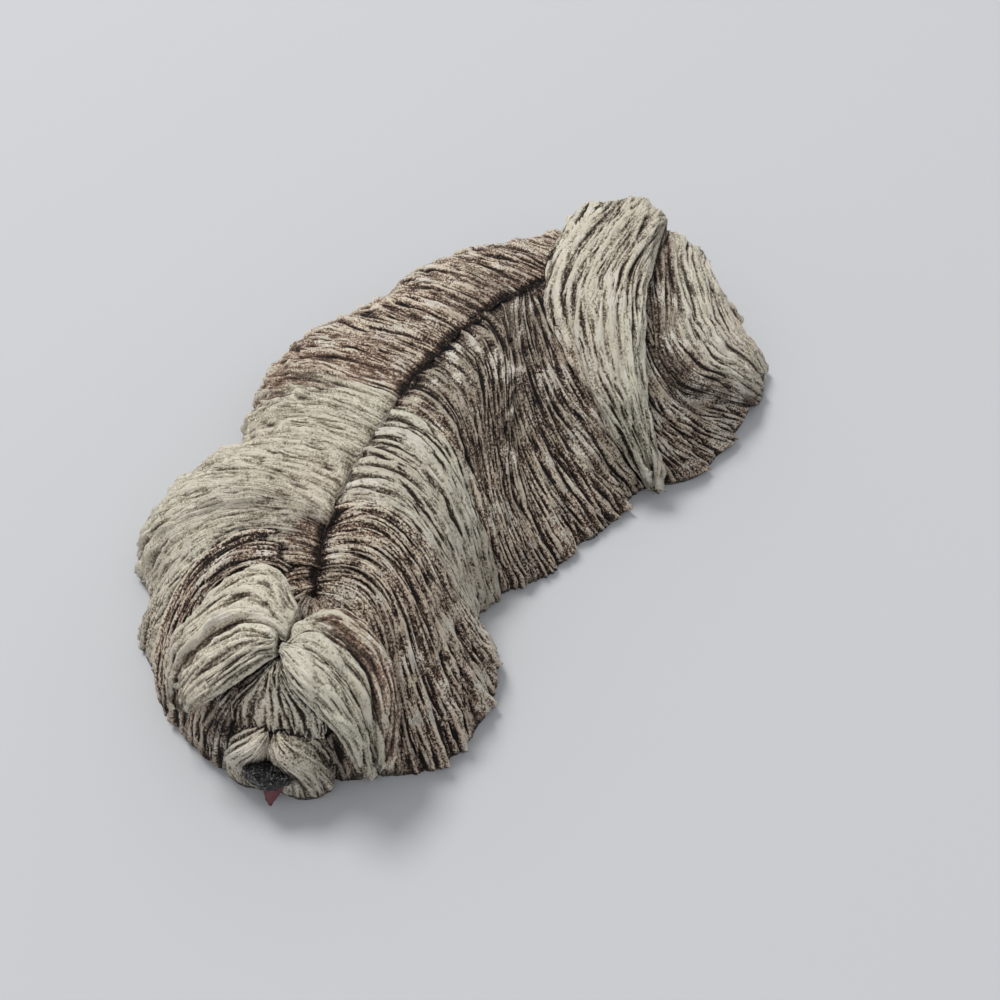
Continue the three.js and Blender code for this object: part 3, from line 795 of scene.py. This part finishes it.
def dog_forms():
    """Every form of the figurine, each a closed object. The forms overlap."""
    coat = coat_form()
    items = [
        close_mound("coat", coat),
        close_mound("skull", skull_form()),
        close_mound("muzzle", muzzle_form()),
    ]
    for place, leaves in ((head, HEAD_LEAVES), (body, BODY_LEAVES)):
        for name, shape in leaves.items():
            sheet = leaf_form(name, shape, place, 20 + len(items), coat)
            items.append(close_leaf(name, sheet))
    nose = ball("nose", head(NOSE), NOSE_SIZE, HEAD_TURN, rings=30, lumps=0.15, seed=41,
                nose=1.0, tone=0.5)
    items.append(nose)
    items.append(close_leaf("tongue", tongue_form()))
    return items


def joined(name, parts):
    """All the forms as one closed mesh."""
    whole = parts[0]
    for part in parts[1:]:
        union = whole.modifiers.new("union", "BOOLEAN")
        union.operation = "UNION"
        union.solver = "MANIFOLD"
        union.object = part
        evaluated = whole.evaluated_get(bpy.context.evaluated_depsgraph_get())
        shape = bpy.data.meshes.new_from_object(evaluated)
        whole.modifiers.clear()
        old = whole.data
        whole.data = shape
        bpy.data.meshes.remove(old)
        bpy.data.objects.remove(part)
    whole.name = name
    whole.data.name = name
    return whole


class Nodes:
    """Short calls for a material's nodes."""

    def __init__(self, name):
        self.material = bpy.data.materials.new(name)
        self.material.use_nodes = True
        self.tree = self.material.node_tree
        self.shader = self.tree.nodes["Principled BSDF"]

    def add(self, kind, inputs=None, **settings):
        node = self.tree.nodes.new(kind)
        for key, value in settings.items():
            setattr(node, key, value)
        for key, value in (inputs or {}).items():
            self.put(node.inputs[key], value)
        return node

    def put(self, socket, value):
        if isinstance(value, bpy.types.NodeSocket):
            self.tree.links.new(value, socket)
        else:
            socket.default_value = value

    def field(self, name):
        return self.add("ShaderNodeAttribute", attribute_name=name).outputs["Fac"]

    def math(self, operation, a, b=0.0, c=0.0, clamp=False):
        node = self.add("ShaderNodeMath", operation=operation, use_clamp=clamp)
        for socket, value in zip(node.inputs, (a, b, c)):
            self.put(socket, value)
        return node.outputs[0]

    def scaled(self, value, factor, plus, clamp=False):
        return self.math("MULTIPLY_ADD", value, factor, plus, clamp)

    def centred(self, noise):
        return self.math("SUBTRACT", noise, 0.5)

    def remap(self, value, low, high, start, end):
        """From start at low to end at high, and level outside."""
        inputs = {"Value": value, "From Min": low, "From Max": high, "To Min": start, "To Max": end}
        return self.add("ShaderNodeMapRange", inputs).outputs[0]

    def noise(self, vector, scale, detail, rough):
        inputs = {"Vector": vector, "Scale": scale, "Detail": detail, "Roughness": rough}
        return self.add("ShaderNodeTexNoise", inputs).outputs["Fac"]

    def streaks(self, flow, scale, detail, rough):
        """Noise that is drawn out along the hair."""
        vector = self.add("ShaderNodeMapping", {"Vector": flow, "Scale": scale}).outputs["Vector"]
        return self.noise(vector, 1.0, detail, rough)

    def crest(self, noise, sharpness):
        """Thin lines, 1 along them and falling to 0, where the noise crosses its middle."""
        away = self.math("ABSOLUTE", self.centred(noise))
        return self.scaled(away, -sharpness, 1.0, clamp=True)

    def ramp(self, value, stops):
        node = self.add("ShaderNodeValToRGB", {"Fac": value})
        ramp = node.color_ramp
        while len(ramp.elements) < len(stops):
            ramp.elements.new(0.5)
        for element, (place, colour) in zip(ramp.elements, stops):
            element.position = place
            element.color = (*colour, 1.0)
        return node.outputs["Color"]

    def mix(self, share, a, b, blend="MIX"):
        node = self.add("ShaderNodeMix", data_type="RGBA", blend_type=blend)
        for socket, value in ((node.inputs[0], share), (node.inputs[6], a), (node.inputs[7], b)):
            if isinstance(value, tuple):
                value = (*value, 1.0)
            self.put(socket, value)
        return node.outputs[2]


def painted_resin():
    """Dark wash and painted shade in the grooves and hollows, dry brushing on the crests, with grit,
    pits and worn patches.
    """
    n = Nodes("painted_resin")
    spot = n.add("ShaderNodeTexCoord").outputs["Object"]
    flow = n.add("ShaderNodeAttribute", attribute_name="flow").outputs["Vector"]
    swayed = n.math("MULTIPLY", n.centred(n.noise(spot, SWAY_SCALE, 2.0, 0.5)), 2.5)
    swayed = n.add("ShaderNodeCombineXYZ", {"X": swayed}).outputs[0]
    flow = n.add("ShaderNodeVectorMath", {0: flow, 1: swayed}, operation="ADD").outputs[0]
    tone, white, dark = n.field("tone"), n.field("white"), n.field("dark")
    deep, even = n.field("deep"), n.field("calm")
    nose, tongue = n.field("nose"), n.field("tongue")

    coarse = n.crest(n.streaks(flow, COARSE_STREAKS, 2.0, 0.6), 5.0)
    fine = n.crest(n.streaks(flow, FINE_STREAKS, 2.0, 0.7), 5.0)
    strand = n.streaks(flow, BROKEN_STREAKS, 2.0, 0.5)
    calm = n.remap(n.streaks(flow, CALM_STREAKS, 1.0, 0.5), 0.40, 0.58, 1.0, 0.35)
    calm = n.math("MULTIPLY", calm, n.scaled(even, -0.5, 1.0))
    grit = n.noise(spot, GRIT_SCALE, 4.0, 0.8)
    pits = n.noise(spot, PIT_SCALE, 2.0, 0.6)
    patch = n.noise(spot, PATCH_SCALE, 3.0, 0.6)
    cast = n.ramp(n.noise(spot, CAST_SCALE, 2.0, 0.5), CASTS)

    # Value runs from 0 in the grooves to 1 on the crests, with painted shade in the grooves and hollows
    streaks = n.scaled(coarse, 0.46, n.math("MULTIPLY", fine, 0.38))
    streaks = n.math("MULTIPLY", n.math("SUBTRACT", streaks, 0.40), calm)
    value = n.math("ADD", streaks, tone)
    clean = n.math("MAXIMUM", even, n.math("MULTIPLY", white, 0.45))
    value = n.scaled(n.centred(grit), n.scaled(clean, -1.7, 2.5), value)
    value = n.scaled(n.centred(patch), n.scaled(clean, -0.45, 0.5), value)
    value = n.scaled(deep, -0.30, value)
    value = n.scaled(value, 1.62, -0.28, clamp=True)

    # Brown hair turns pale where it is brushed, except in its darker wash and painted shade
    broken = n.scaled(n.centred(strand), 0.8, white)
    brushed = n.math("MAXIMUM", n.math("SUBTRACT", value, 0.6), 0.0)
    clear_of_wash_and_shade = n.math("MAXIMUM", n.scaled(dark, -2.0, 0.9), 0.0)
    broken = n.math("ADD", n.math("MULTIPLY", brushed, clear_of_wash_and_shade), broken)
    share = n.remap(broken, 0.15, 0.85, 0.0, 1.0)
    colour = n.mix(share, n.ramp(value, BROWN_PAINT), n.ramp(value, PALE_PAINT))
    colour = n.mix(1.0, colour, cast, "MULTIPLY")
    # Darker where the dark field is set: darker paint, with painted shade in the coat's valleys, at the
    # eyes, along the tail's lower edge and on the near side; pits darker still
    pitted = n.remap(pits, 0.60, 0.70, 0.0, 0.45)
    shade = n.math("SUBTRACT", n.scaled(dark, -0.62, 1.0), pitted, clamp=True)
    grey = n.add("ShaderNodeCombineColor", {"Red": shade, "Green": shade, "Blue": shade}).outputs[0]
    colour = n.mix(1.0, colour, grey, "MULTIPLY")
    worn = n.math("GREATER_THAN", patch, 0.55)
    worn = n.math("MULTIPLY", worn, n.math("SUBTRACT", value, 0.7), clamp=True)
    colour = n.mix(n.math("MULTIPLY", worn, 2.6, clamp=True), colour, WORN_PAINT)
    colour = n.mix(nose, colour, n.mix(value, NOSE_GROOVE, NOSE_CREST))
    glint = n.math("MULTIPLY", nose, n.math("GREATER_THAN", grit, 0.585))
    colour = n.mix(glint, colour, NOSE_GLINT)
    colour = n.mix(tongue, colour, TONGUE_PAINT)

    # The crests are smoother than the grooves, and the nose is glossy
    rough = n.scaled(nose, -0.55, n.remap(value, 0.0, 1.0, 0.95, 0.6))
    height = n.scaled(coarse, 1.0, n.math("MULTIPLY", fine, 0.6))
    height = n.scaled(grit, 1.6, height)
    height = n.scaled(pitted, -1.2, height)
    bump = n.add("ShaderNodeBump", {"Strength": 1.0, "Distance": BUMP_DEPTH, "Height": height})
    n.put(n.shader.inputs["Base Color"], colour)
    n.put(n.shader.inputs["Roughness"], rough)
    n.put(n.shader.inputs["Normal"], bump.outputs["Normal"])
    n.shader.inputs["Specular IOR Level"].default_value = 0.4
    return n.material


def floor_material():
    n = Nodes("plain_floor")
    n.shader.inputs["Base Color"].default_value = FLOOR_COLOUR
    n.shader.inputs["Roughness"].default_value = 0.7
    n.shader.inputs["Specular IOR Level"].default_value = 0.2
    return n.material


def lamp(name, place, size, power, colour):
    """A round lamp that faces the figurine."""
    data = bpy.data.lights.new(name, "AREA")
    data.shape = "DISK"
    data.size = size
    data.energy = power
    data.color = colour
    light = bpy.data.objects.new(name, data)
    light.location = place
    light.rotation_euler = (-place).to_track_quat("-Z", "Y").to_euler()
    bpy.context.collection.objects.link(light)


figurine = joined("painted_dog", dog_forms())
for polygon in figurine.data.polygons:
    polygon.use_smooth = True
figurine.data.materials.clear()
figurine.data.materials.append(painted_resin())
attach(figurine, "root")
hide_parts("dog_figurine")

bpy.ops.mesh.primitive_plane_add(size=6)
floor = bpy.context.object
floor.name = "floor"
floor.data.materials.append(floor_material())

world = bpy.data.worlds.new("studio")
world.use_nodes = True
sky = world.node_tree.nodes["Background"]
sky.inputs["Color"].default_value = SKY_COLOUR
sky.inputs["Strength"].default_value = SKY_STRENGTH
bpy.context.scene.world = world
bpy.context.scene.view_settings.view_transform = "Standard"

away = np.array([
    math.cos(ELEVATION) * math.sin(AZIMUTH),
    -math.cos(ELEVATION) * math.cos(AZIMUTH),
    math.sin(ELEVATION),
])
right = np.array([math.cos(AZIMUTH), math.sin(AZIMUTH), 0])
far_side = np.array([-math.sin(AZIMUTH), math.cos(AZIMUTH), 0])
for name, (aside, beyond, above, size, power, colour) in LAMPS.items():
    place = Vector(aside * right + beyond * far_side + np.array([0, 0, above]))
    lamp(name, place, size, power, colour)

camera = bpy.data.objects.new("camera", bpy.data.cameras.new("camera"))
camera.data.lens = LENS
camera.data.sensor_width = 36
camera.data.clip_start = 0.01
camera.location = Vector((away * DISTANCE + SHIFT) * MM)
camera.rotation_euler = Vector(-away).to_track_quat("-Z", "Y").to_euler()
bpy.context.collection.objects.link(camera)
bpy.context.scene.camera = camera
